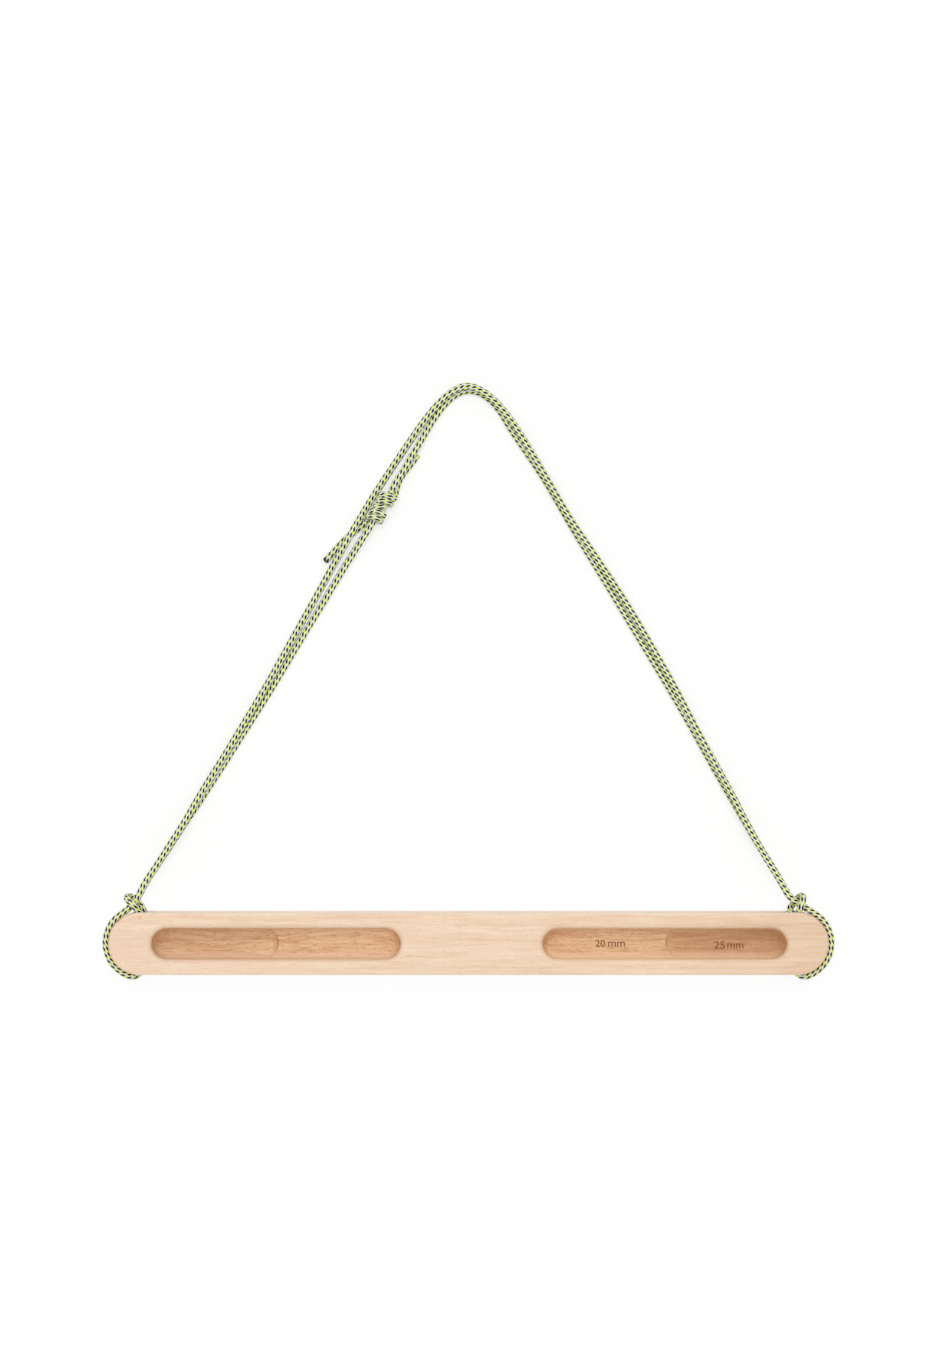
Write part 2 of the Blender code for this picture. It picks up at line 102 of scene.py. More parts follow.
# How far the grain sways, and how much its bands, streaks and fibre show where it is sanded or routed
GRAIN_SWAY = 0.0075
SANDED_SHARES = (0.5, 0.75, 0.5)
ROUTED_SHARES = (0.8, 1.3, 1.0)
SANDED_BLUSH_SHARE = 0.5
ROUTED_BLUSH_SHARE = 0.4
ROUTED_STREAK_SHARE = 0.4
DASH_SHARE = 0.55
END_GRAIN_SHARE = 0.2
# Share of the painted light on the bar's side faces
SIDE_FACE_LIGHT_SHARE = 0.3
FIBRE_RELIEF = 0.0002

# From which level of its noise each pattern sets in, and where it is full
TONE_CUT = (0.05, 0.95)
STREAK_CUT = (0.60, 0.70)
DASH_CUT = (0.62, 0.74)
ROUTED_DASH_LIFT = 0.04
BLUSH_CUT = (0.35, 0.65)

# Between which places along the bar its right end and right floor take their own tone, and its right walls
# more painted light
RIGHT_END_FADE = (0.13, 0.30)
RIGHT_FLOOR_FADE = (0.04, 0.20)
RIGHT_WALL_LIGHT_FADE = (-0.05, 0.06)

# Where a twig once grew, the radius of its ring, how fast the ring fades, per metre, and its share
TWIG_MARK = (-0.2645, 0.0215, 0.040)
TWIG_RING_RADIUS = 0.0013
TWIG_RING_FADE = 1100.0
TWIG_RING_SHARE = 0.6

# Pockets: how much of the sanded tone their long walls keep, painted light that leaves the lower wall
# lighter than the upper; where the routed tone sets in; and how much painted light pales the long walls on
# the left and on the right
LOWER_WALL_PAINTED_LIGHT_SHARE = 1.0
UPPER_WALL_PAINTED_LIGHT_SHARE = 0.3
ROUTED_FROM = 0.0005
ROUTED_RISE = 0.0035
EDGE_MARGIN = 0.0003
FLOOR_MARGIN = 0.0005
LEFT_WALL_PAINTED_LIGHT_SHARE = 0.40
RIGHT_WALL_PAINTED_LIGHT_SHARE = 0.85

# Studio
SUN_STRENGTH = 1.30
SUN_WIDTH = 44
SUN_TILT = 11
SURROUND_LIGHT = 0.61
FLOOR_HALF = 6
FLOOR_GLOW = 0.90
FLOOR_GLOW_DROP = 0.38
GLOW_DROP_ABOVE_BAR = (0.03, 0.10)

# Cord
CORD_DIAMETER = 0.0055
CORD_GAP = 0.00045
HITCH_SLACK = 0.0003
BORE_TURN_RADIUS = 0.0075
LEFT_WRAP_START = 58
RIGHT_WRAP_START = 64
KNOT_CENTRE = (-0.0702, 0.3528, 0.0079)
KNOT_AXIS = (-0.517, -0.856, 0.0)
KNOT_CORD_DIAMETER = 0.0050
KNOT_PITCH = 0.0050
KNOT_WRAP_RADIUS = 0.0050
KNOT_CORE = [(-0.0160, 0.0, 0.0), (-0.0110, 0.0, 0.0)]
LOWER_WINDING = 915
UPPER_WINDING = 735
WINDING_STEP = 15.0
FINE_STEP = 0.0002
RING_STEP = 0.0010
RING_POINTS = 24
SEALED_END = 0.0016
SCORCHED_LENGTH = 0.0030
BRAID_COLUMNS = 6
STITCH_LENGTH = 0.00255
NEON_REACH = 1.13
BLACK_REACH = 1.15
BLACK_EXTRA_WIDTH = 0.10
STRAND_EDGE = 0.03
STRAND_ROUNDNESS = 1.85
FLOAT_ROUNDNESS = 0.8
STRAND_RELIEF = 0.00025
CREVICE_TOP = 0.5
SCORCHED_SHARE = 0.9
MELTED_SHARE = 0.7

# Which of the braid's columns faces up, at distances along the cord
BRAID_STATIONS = [
    (0.000, 0.50), (1.070, 0.50), (1.100, 0.00), (1.195, 0.00), (1.225, 0.50), (1.450, 0.50),
    (1.5756, 0.00), (1.610, 0.13), (1.700, 0.13), (1.768, 0.35), (1.840, 0.22), (1.940, 0.22),
    (2.050, 0.30), (2.410, 0.30), (2.680, 0.25), (2.882, 0.25),
]

PAIR_OFFSET = (CORD_DIAMETER + CORD_GAP) / 2
WRAP_RADIUS = BAR_HEIGHT / 2 + CORD_DIAMETER / 2 + HITCH_SLACK

# Routes of the free cord, each from the bar outwards
LEFT_BACK_ROUTE = [
    (-0.2619, 0.0468, 0.0160), (-0.2517, 0.0628, 0.0122), (-0.2412, 0.0787, 0.0083),
    (-0.2309, 0.0948, 0.0053), (-0.2201, 0.1110, 0.0036), (-0.1991, 0.1434, 0.0028),
    (-0.1785, 0.1759, 0.0028), (-0.1581, 0.2084, 0.0028), (-0.1387, 0.2409, 0.0028),
    (-0.1191, 0.2733, 0.0029), (-0.0995, 0.3058, 0.0048), (-0.0893, 0.3219, 0.0068),
]
LEFT_FRONT_ROUTE = [
    (-0.2622, 0.0468, 0.0220), (-0.2519, 0.0628, 0.0182), (-0.2419, 0.0788, 0.0144),
    (-0.2315, 0.0950, 0.0114), (-0.2223, 0.1111, 0.0096), (-0.2026, 0.1435, 0.0078),
    (-0.1828, 0.1759, 0.0076), (-0.1635, 0.2084, 0.0064), (-0.1455, 0.2408, 0.0042),
    (-0.1275, 0.2733, 0.0030), (-0.1185, 0.2895, 0.0032), (-0.1096, 0.3057, 0.0050),
    (-0.1049, 0.3138, 0.0070), (-0.1004, 0.3220, 0.0086), (-0.0957, 0.3302, 0.0089),
    (-0.0909, 0.3385, 0.0076), (-0.0862, 0.3466, 0.0045), (-0.0814, 0.3547, 0.0031),
    (-0.0712, 0.3708, 0.0028), (-0.0605, 0.3870, 0.0028), (-0.0496, 0.4032, 0.0030),
    (-0.0383, 0.4194, 0.0044), (-0.0251, 0.4357, 0.0072), (-0.0150, 0.4449, 0.0085),
]
APEX_FRONT_ROUTE = [(-0.0008, 0.4505, 0.0087)]
RIGHT_FRONT_ROUTE = [
    (0.2538, 0.0468, 0.0220), (0.2443, 0.0628, 0.0182), (0.2350, 0.0788, 0.0144),
    (0.2261, 0.0950, 0.0114), (0.2178, 0.1111, 0.0097), (0.2005, 0.1435, 0.0087),
    (0.1831, 0.1759, 0.0084), (0.1662, 0.2084, 0.0072), (0.1480, 0.2408, 0.0050),
    (0.1288, 0.2733, 0.0054), (0.1077, 0.3057, 0.0073), (0.0968, 0.3219, 0.0080),
    (0.0857, 0.3381, 0.0084), (0.0665, 0.3705, 0.0086), (0.0474, 0.4030, 0.0080),
    (0.0371, 0.4192, 0.0078), (0.0244, 0.4354, 0.0086), (0.0134, 0.4452, 0.0088),
]
RIGHT_BACK_ROUTE = [
    (0.2539, 0.0468, 0.0160), (0.2449, 0.0628, 0.0122), (0.2350, 0.0787, 0.0083),
    (0.2255, 0.0948, 0.0053), (0.2163, 0.1110, 0.0036), (0.1978, 0.1434, 0.0028),
    (0.1799, 0.1759, 0.0028), (0.1612, 0.2084, 0.0028), (0.1417, 0.2409, 0.0028),
    (0.1223, 0.2733, 0.0028), (0.1027, 0.3058, 0.0028), (0.0830, 0.3383, 0.0028),
    (0.0643, 0.3708, 0.0028), (0.0430, 0.4032, 0.0028), (0.0323, 0.4195, 0.0028),
    (0.0215, 0.4357, 0.0028), (0.0118, 0.4438, 0.0028),
]
APEX_BACK_ROUTE = [
    (0.0000, 0.4472, 0.0028), (-0.0109, 0.4434, 0.0028), (-0.0194, 0.4357, 0.0028),
    (-0.0311, 0.4194, 0.0032), (-0.0406, 0.4031, 0.0058), (-0.0455, 0.3950, 0.0074),
    (-0.0501, 0.3868, 0.0082), (-0.0550, 0.3787, 0.0086), (-0.0600, 0.3706, 0.0083),
]

# Tails of the joining knot: along its leg, across it and up, from the knot's middle
LOWER_TAIL = [
    (0.0153, -0.0049, -0.0041), (0.0198, -0.0057, -0.0050), (0.0268, -0.0080, -0.0051),
    (0.0339, -0.0108, -0.0051), (0.0484, -0.0143, -0.0051), (0.0621, -0.0169, -0.0051),
]
UPPER_TAIL = [
    (-0.0127, 0.0044, -0.0041), (-0.0160, 0.0034, -0.0050), (-0.0212, 0.0017, -0.0051),
    (-0.0320, 0.0008, -0.0051), (-0.0410, 0.0019, -0.0051), (-0.0516, 0.0030, -0.0051),
]

# Inside each bore the cord runs straight, and then loops over its standing strands: outwards, up
# and forward, from the bore
THROUGH_BORE = [(0.0, -0.008), (0.0, 0.005)]
LEFT_CROSSING = [
    (0.0000, 0.0170, -0.0030), (-0.0006, 0.0215, -0.0031), (-0.0010, 0.0248, -0.0038),
    (-0.0002, 0.0276, -0.0053), (0.0016, 0.0299, -0.0071), (0.0035, 0.0318, -0.0085),
    (0.0052, 0.0337, -0.0094), (0.0071, 0.0354, -0.0090), (0.0094, 0.0367, -0.0066),
    (0.0114, 0.0371, -0.0026), (0.0119, 0.0367, 0.0018), (0.0112, 0.0354, 0.0057),
    (0.0087, 0.0331, 0.0086), (0.0073, 0.0318, 0.0091), (0.0055, 0.0296, 0.0084),
    (0.0042, 0.0275, 0.0066), (0.0028, 0.0251, 0.0045), (0.0010, 0.0220, 0.0032),
    (0.0000, 0.0180, 0.0030),
]
RIGHT_CROSSING = [
    (0.0000, 0.0170, -0.0030), (-0.0010, 0.0215, -0.0031), (-0.0030, 0.0250, -0.0038),
    (-0.0035, 0.0275, -0.0056), (-0.0022, 0.0297, -0.0076), (-0.0006, 0.0316, -0.0091),
    (0.0010, 0.0341, -0.0095), (0.0032, 0.0363, -0.0075), (0.0051, 0.0376, -0.0038),
    (0.0059, 0.0377, 0.0010), (0.0062, 0.0366, 0.0050), (0.0058, 0.0344, 0.0079),
    (0.0050, 0.0320, 0.0090), (0.0044, 0.0300, 0.0091), (0.0033, 0.0275, 0.0079),
    (0.0022, 0.0251, 0.0057), (0.0009, 0.0215, 0.0034), (0.0000, 0.0170, 0.0030),
]

# Standing strands of each hitch, where they leave the bar's round end: outwards and up, from the bore
LEFT_STANDING = [(0.0048, 0.0346), (0.0114, 0.0273)]
RIGHT_STANDING = [(-0.0012, 0.0342), (0.0052, 0.0302)]

# How the cord rises out of the knot's core: turn in degrees, distance along the leg, and radius
KNOT_RISE = [
    (-90, -0.0066, 0.0000), (0, -0.0037, 0.0007), (90, 0.0000, 0.0037),
    (180, 0.0026, 0.0046), (270, 0.0055, KNOT_WRAP_RADIUS), (360, 0.0056, KNOT_WRAP_RADIUS),
]


class Value:
    """A socket of a finish. Python's arithmetic on it adds Math nodes to the finish."""

    def __init__(self, finish, socket):
        self.finish = finish
        self.socket = socket

    def maths(self, operation, *others):
        inputs = dict(enumerate((self, *others)))
        return self.finish.node("ShaderNodeMath", {"operation": operation}, inputs)

    def __add__(self, other):
        return self.maths("ADD", other)

    def __sub__(self, other):
        return self.maths("SUBTRACT", other)

    def __mul__(self, other):
        return self.maths("MULTIPLY", other)

    def __pow__(self, other):
        return self.maths("POWER", other)

    def __radd__(self, other):
        return self + other

    def __rmul__(self, other):
        return self * other

    def __rsub__(self, other):
        return self * -1.0 + other

    def __abs__(self):
        return self.maths("ABSOLUTE")

    def nearest(self):
        return self.maths("ROUND")

    def sine(self):
        return self.maths("SINE")

    def root(self):
        return self.maths("MAXIMUM", 0.0).maths("SQRT")

    def between(self, low, high):
        """0 below low, 1 above high, and a smooth rise between them."""
        settings = {"interpolation_type": "SMOOTHSTEP"}
        return self.finish.node("ShaderNodeMapRange", settings, {0: self, 1: low, 2: high})


class Finish:
    """A material whose nodes are added one expression at a time."""

    def __init__(self, name, **constants):
        self.material = bpy.data.materials.new(name)
        self.material.use_nodes = True
        self.tree = self.material.node_tree
        self.shader = self.tree.nodes["Principled BSDF"]
        for socket, value in constants.items():
            self.feed(socket.replace("_", " ").title().replace("Ior", "IOR"), value)

    def connect(self, socket, value):
        if isinstance(value, Value):
            self.tree.links.new(value.socket, socket)
        elif isinstance(value, tuple) and len(value) == 3 and socket.type == "RGBA":
            socket.default_value = (*value, 1.0)
        else:
            socket.default_value = value

    def feed(self, name, value):
        self.connect(self.shader.inputs[name], value)

    def node(self, kind, settings=None, values=None, output=0):
        """One node of any kind: its settings first, then the values or links of its sockets."""
        made = self.tree.nodes.new(kind)
        for setting, value in (settings or {}).items():
            setattr(made, setting, value)
        for socket, value in (values or {}).items():
            self.connect(made.inputs[socket], value)
        return Value(self, made.outputs[output])

    def mix(self, amount, first, second, blend="MIX"):
        """A colour mixed from two by an amount."""
        settings = {"data_type": "RGBA", "blend_type": blend}
        return self.node("ShaderNodeMix", settings, {0: amount, 6: first, 7: second}, 2)

    def own(self):
        """The piece's own coordinates, in metres."""
        return self.node("ShaderNodeTexCoord", output="Object")

    def part_of(self, where, axis):
        """One of a vector's three numbers."""
        return self.node("ShaderNodeSeparateXYZ", {}, {0: where}, axis)

    def noise(self, where, pattern):
        """Soft noise from 0 to 1. The pattern is its lumps to the metre, along and across, and detail."""
        along, across, detail = pattern
        values = {"Vector": where, "Scale": (along, across, across)}
        stretched = self.node("ShaderNodeMapping", {"vector_type": "POINT"}, values)
        values = {"Vector": stretched, "Scale": 1.0, "Detail": detail, "Roughness": 0.5, "Distortion": 0.0}
        return self.node("ShaderNodeTexNoise", {}, values)

    def attribute(self, name):
        return self.node("ShaderNodeAttribute", {"attribute_name": name}, {}, "Fac")

    def bump(self, height, distance, strength=1.0):
        values = {"Height": height, "Distance": distance, "Strength": strength}
        self.feed("Normal", self.node("ShaderNodeBump", {}, values))


def srgb(red, green, blue):
    """A colour given by its 0 to 255 screen values, as linear light."""
    parts = np.array([red, green, blue]) / 255.0
    linear = np.where(parts <= 0.04045, parts / 12.92, ((parts + 0.055) / 1.055) ** 2.4)
    return tuple(float(part) for part in linear)


# Colours of the cord
BRAID_WHITE = srgb(226, 227, 226)
BRAID_NEON = srgb(232, 247, 80)
BRAID_BLACK = srgb(4, 3, 5)
SCORCHED_CORD = srgb(38, 36, 30)
MELTED_CORD = srgb(214, 226, 84)
CREVICE_SHADE = (0.66, 0.66, 0.67)

# Colours of the beech, dark and light, where it is sanded, routed and burnt
SANDED_TONES = srgb(226, 192, 160), srgb(248, 226, 201)
SANDED_BLUSH = srgb(236, 205, 180)
SANDED_DASH = srgb(212, 166, 134)
ROUTED_TONES = srgb(202, 155, 114), srgb(244, 211, 172)
ROUTED_STREAK = srgb(184, 132, 90)
ROUTED_BLUSH = srgb(206, 158, 116)
ROUTED_DASH = srgb(150, 98, 62)
BURNT_TONES = srgb(126, 76, 46), srgb(162, 108, 70)
# Painted light on the pockets' long walls
PAINTED_WALL_LIGHT = srgb(255, 232, 196)
END_GRAIN = srgb(186, 134, 94)
# Painted light: the bar's side faces, paler as if brightly lit
SIDE_FACE_PAINTED_LIGHT = srgb(255, 246, 238)
TWIG_RING = srgb(222, 160, 118)
DEEP_FLOOR_PAINTED_SHADE = (0.89, 0.86, 0.83)
RIGHT_END_SHADE = (0.91, 0.87, 0.83)
RIGHT_FLOOR_SHADE = (0.90, 0.87, 0.84)


def values_of(items, name, width=1, kind=np.float32):
    """One value of every item of a mesh: a row of numbers each, or a plain array of single numbers."""
    values = np.empty(len(items) * width, dtype=kind)
    items.foreach_get(name, values)
    return values if width == 1 else values.reshape(-1, width)


def store(mesh, name, domain, values):
    """A number for every point or face corner of a mesh, which its finish reads by name."""
    mesh.attributes.new(name, "FLOAT", domain).data.foreach_set("value", values.astype(np.float32))


def placed(data, place=(0.0, 0.0, 0.0)):
    """A new object in the scene that shows the given data."""
    made = bpy.data.objects.new(data.name, data)
    made.location = place
    bpy.context.scene.collection.objects.link(made)
    return made


def grid_faces(rows, columns):
    """Quads of a grid of points whose columns close into a ring, as whole arrays."""
    row, column = np.meshgrid(np.arange(rows - 1), np.arange(columns), indexing="ij")
    following = (column + 1) % columns
    corners = [row * columns + column, row * columns + following,
               (row + 1) * columns + following, (row + 1) * columns + column]
    return np.stack(corners, axis=-1).reshape(-1, 4)


def ring_mesh(name, rings):
    """A closed mesh through rings of points: quads between them, and a flat end at both ends."""
    rows, columns = rings.shape[:2]
    faces = grid_faces(rows, columns).tolist()
    faces.append(list(range(columns))[::-1])
    faces.append(list(range((rows - 1) * columns, rows * columns)))
    mesh = bpy.data.meshes.new(name)
    mesh.from_pydata(rings.reshape(-1, 3).tolist(), [], faces)
    return placed(mesh)


def spline(knots, values, at):
    """Values of the natural cubic spline through the given values, where they are wanted."""
    values = np.asarray(values, dtype=float)
    count = len(knots)
    span = np.diff(knots)[:, None]
    slope = np.diff(values, axis=0) / span
    system = np.eye(count)
    wanted = np.zeros_like(values)
    for i in range(1, count - 1):
        before, after = span[i - 1, 0], span[i, 0]
        system[i, i - 1 : i + 2] = before, 2 * (before + after), after
        wanted[i] = 6 * (slope[i] - slope[i - 1])
    bend = np.linalg.solve(system, wanted)
    i = np.clip(np.searchsorted(knots, at, side="right") - 1, 0, count - 2)
    after = (at - knots[i])[:, None]
    before = (knots[i + 1] - at)[:, None]
    length = span[i]
    return (
        bend[i] * before**3 / (6 * length)
        + bend[i + 1] * after**3 / (6 * length)
        + (values[i] / length - bend[i] * length / 6) * before
        + (values[i + 1] / length - bend[i + 1] * length / 6) * after
    )


def lengths_along(points):
    """Distance from the first point to each point, along the line through them."""
    return np.concatenate([[0.0], np.cumsum(np.linalg.norm(np.diff(points, axis=0), axis=1))])


def hitch_route(side, standing, crossing, wrap_start):
    """One girth hitch, from its back standing strand to its front one.

    The cord goes round the bar's half-round end and turns up into the bore, comes out under the
    two standing strands at the back, returns over them in front, and runs back beside itself.
    """
    sign = -1 if side == "left" else 1
    end_inset = (BAR_LENGTH - BAR_HEIGHT) / 2 - BORE_FROM_MIDDLE
    turn_x = BORE_TURN_RADIUS - end_inset
    turn_start = math.acos(turn_x / (WRAP_RADIUS - BORE_TURN_RADIUS))
    turn_y = -(WRAP_RADIUS - BORE_TURN_RADIUS) * math.sin(turn_start)
    wrap = np.linspace(math.radians(wrap_start), -turn_start, 9)
    turn = np.linspace(-turn_start, -math.pi, 6)[1:]
    round_end = list(standing)
    round_end += [(end_inset + WRAP_RADIUS * math.cos(a), WRAP_RADIUS * math.sin(a)) for a in wrap]
    round_end += [
        (BORE_TURN_RADIUS * (1 + math.cos(a)), turn_y + BORE_TURN_RADIUS * math.sin(a)) for a in turn
    ]
    round_end += THROUGH_BORE
    points = [(x, y, -PAIR_OFFSET) for x, y in round_end]
    points += crossing
    points += [(x, y, PAIR_OFFSET) for x, y in reversed(round_end)]
    return [(sign * (BORE_FROM_MIDDLE + x), y, BAR_THICKNESS / 2 + z) for x, y, z in points]


def knot_points(points):
    """Points of the knot's own frame (along the leg, across it, up) in the part's frame."""
    leg = np.array(KNOT_AXIS) / np.linalg.norm(KNOT_AXIS)
    up = np.array([0.0, 0.0, 1.0])
    return np.array(KNOT_CENTRE) + np.array(points) @ np.array([leg, np.cross(up, leg), up])


def knot_winding(last_angle):
    """Half of the joining knot, out of the core and wound on the other half's core."""
    angles = [row[0] for row in KNOT_RISE]
    levels = [row[1:] for row in KNOT_RISE]
    while angles[-1] < last_angle:
        angles.append(angles[-1] + 90)
        levels.append((levels[-4][0] + KNOT_PITCH, KNOT_WRAP_RADIUS))
    at = np.arange(angles[0], last_angle + 1, WINDING_STEP)
    along, out = spline(np.array(angles, dtype=float), levels, at).T
    turn = np.radians(at)
    return np.column_stack([along, out * np.cos(turn), out * np.sin(turn)])


def cord_route():
    """Route points of the whole cord from its lower tail to its upper tail, and its radius there."""
    lower = knot_winding(LOWER_WINDING)
    upper = knot_winding(UPPER_WINDING) * [-1, 1, -1]
    full, tight = CORD_DIAMETER / 2, KNOT_CORD_DIAMETER / 2
    lower_knot = knot_points(np.vstack([LOWER_TAIL[::-1], lower[::-1], KNOT_CORE[::-1]]))
    upper_knot = knot_points(np.vstack([np.array(KNOT_CORE) * [-1, 1, 1], upper, UPPER_TAIL]))
    strands = (
        APEX_BACK_ROUTE[::-1] + RIGHT_BACK_ROUTE[::-1]
        + hitch_route("right", RIGHT_STANDING, RIGHT_CROSSING, RIGHT_WRAP_START)
        + RIGHT_FRONT_ROUTE + APEX_FRONT_ROUTE + LEFT_FRONT_ROUTE[::-1]
        + hitch_route("left", LEFT_STANDING, LEFT_CROSSING, LEFT_WRAP_START)[::-1]
        + LEFT_BACK_ROUTE
    )
    tail = [full] * (len(LOWER_TAIL) - 1)
    radii = tail + [tight] * (len(lower) + 2) + [full] * (len(strands) + 2)
    radii += [tight] * (len(upper) + 2) + tail
    return np.vstack([lower_knot, strands, upper_knot]), np.array(radii)


def turns_multiplied(second, first):
    """Products of quaternions, row by row: the first turn, then the second."""
    a, u = second[:, :1], second[:, 1:]
    b, v = first[:, :1], first[:, 1:]
    real = a * b - (u * v).sum(axis=1, keepdims=True)
    return np.hstack([real, a * v + b * u + np.cross(u, v)])


def untwisted_sides(headings):
    """A direction square to each heading, carried along the line without twisting.

    Each heading is turned from the one before by the shortest turn, written as a quaternion, and
    the turns up to each point are multiplied together by doubling.
    """
    half = headings[1:] + headings[:-1]
    half /= np.linalg.norm(half, axis=1, keepdims=True)
    turns = np.hstack([(headings[:-1] * half).sum(axis=1, keepdims=True), np.cross(headings[:-1], half)])
    turns = np.vstack([[1.0, 0.0, 0.0, 0.0], turns])
    reach = 1
    while reach < len(turns):
        turns[reach:] = turns_multiplied(turns[reach:], turns[:-reach])
        turns /= np.linalg.norm(turns, axis=1, keepdims=True)
        reach *= 2
    first = np.cross(headings[0], [0.0, 0.0, 1.0])
    first /= np.linalg.norm(first)
    real, axis = turns[:, :1], turns[:, 1:]
    swing = 2 * np.cross(axis, first)
    return first + real * swing + np.cross(axis, swing)


def braid_turn(up_column, along):
    """How many columns the braid is turned by, so that the wanted column faces up at each station.

    Between stations the extra twist changes evenly with the distance.
    """
    wanted = np.array(BRAID_STATIONS)
    natural = np.interp(wanted[:, 0], along, up_column)
    extra = wanted[:, 1] - natural
    extra = extra - np.round(extra)
    return np.interp(along, wanted[:, 0], extra)


def braided_cord():
    """The cord: a circle carried along the spline through the route.

    The radius follows the route's own, and falls to nothing at both sealed ends as a quarter
    circle does.
    """
    points, radii = cord_route()
    knots = lengths_along(points)
    fine = np.arange(0.0, knots[-1], FINE_STEP)
    curve = spline(knots, points, fine)
    far = lengths_along(curve)
    length = far[-1]
    tip = SEALED_END * (1 - np.cos(np.linspace(0.02, math.pi / 2, 8)))
    middle = np.linspace(SEALED_END, length - SEALED_END, round(length / RING_STEP))[1:-1]
    along = np.concatenate([tip, middle, length - tip[::-1]])
    line = np.column_stack([np.interp(along, far, curve[:, axis]) for axis in range(3)])
    heading = np.gradient(line, along, axis=0)
    heading /= np.linalg.norm(heading, axis=1, keepdims=True)
    side = untwisted_sides(heading)
    other = np.cross(heading, side)
    ends = np.clip(np.minimum(along, length - along) / SEALED_END, 0.0, 1.0)
    radius = np.interp(np.interp(along, far, fine), knots, radii) * np.sqrt(1 - (1 - ends) ** 2)
    angle = np.linspace(0.0, 2 * math.pi, RING_POINTS, endpoint=False)
    out = side[:, None] * np.cos(angle)[:, None] + other[:, None] * np.sin(angle)[:, None]
    cord = ring_mesh("sling_cord", line[:, None] + out * radius[:, None, None])
    mesh = cord.data
    mesh.shade_smooth()
    up_column = np.unwrap(np.arctan2(other[:, 2], side[:, 2])) * BRAID_COLUMNS / (2 * math.pi)
    twist = braid_turn(up_column, along)
    column = np.arange(RING_POINTS + 1) * BRAID_COLUMNS / RING_POINTS
    across = column[None, :] + twist[:, None]
    stitch = np.broadcast_to(along[:, None] / STITCH_LENGTH, across.shape)
    pair = np.stack([across, stitch], axis=-1)
    corners = np.stack([pair[:-1, :-1], pair[:-1, 1:], pair[1:, 1:], pair[1:, :-1]], axis=2).reshape(-1, 2)
    corners = np.vstack([corners, np.zeros((2 * RING_POINTS, 2))])
    mesh.uv_layers.new(name="braid").data.foreach_set("uv", corners.astype(np.float32).ravel())
    for name, distance in (("scorched_end", along), ("melted_end", length - along)):
        share = np.clip(2.0 - 2.0 * distance / SCORCHED_LENGTH, 0.0, 1.0)
        store(mesh, name, "POINT", np.repeat(share, RING_POINTS))
    print(f"cord: {length * 1000:.0f} mm, {len(line)} rings")
    return cord, line, length


def braid_finish():
    """The cord's sheath: 24 strands, 12 each way, each passing over two and under two.

    A strand's number is the distance along, in stitches, plus or minus twice the column round the
    cord. Where a strand's own float lies, its distance along the float, in crossings, is under its
    reach. One set is black and neon in turn, the black ones a little wider, and the other white.
    """
    finish = Finish("braided_cord", roughness=0.65, specular_ior_level=0.15)
    place = finish.node("ShaderNodeUVMap", {"uv_map": "braid"})
    column, stitch = finish.part_of(place, 0), finish.part_of(place, 1)
    from_column = column - column.nearest()
    from_other = column + 0.5 - (column + 0.5).nearest()
    coloured = stitch + 2.0 * column
    coloured = coloured + (coloured * math.pi).sine() * BLACK_EXTRA_WIDTH
    white = stitch - 2.0 * column - 0.5
    coloured_across = coloured - coloured.nearest()
    white_across = white - white.nearest()
    coloured_along = abs(coloured_across - 4.0 * from_column)
    white_along = abs(white_across + 4.0 * from_other)
    black = (coloured.nearest() * (math.pi / 2)).sine() ** 2.0
    reach = NEON_REACH + (BLACK_REACH - NEON_REACH) * black
    over = (reach - coloured_along).between(-STRAND_EDGE, STRAND_EDGE)
    across = over * coloured_across + (1.0 - over) * white_across
    along = over * coloured_along + (1.0 - over) * white_along
    rounded_across = (1.0 - (across * STRAND_ROUNDNESS) ** 2.0).root()
    height = rounded_across * (1.0 - (along * FLOAT_ROUNDNESS) ** 4.0).root()
    colour = finish.mix(over * (1.0 - black), BRAID_WHITE, BRAID_NEON)
    colour = finish.mix(over * black, colour, BRAID_BLACK)
    shade = finish.mix(height.between(0.0, CREVICE_TOP), CREVICE_SHADE, (1.0, 1.0, 1.0))
    colour = finish.mix(1.0, colour, shade, "MULTIPLY")
    colour = finish.mix(finish.attribute("scorched_end") * SCORCHED_SHARE, colour, SCORCHED_CORD)
    colour = finish.mix(finish.attribute("melted_end") * MELTED_SHARE, colour, MELTED_CORD)
    finish.feed("Base Color", colour)
    finish.bump(height, STRAND_RELIEF, 0.7)
    return finish.material


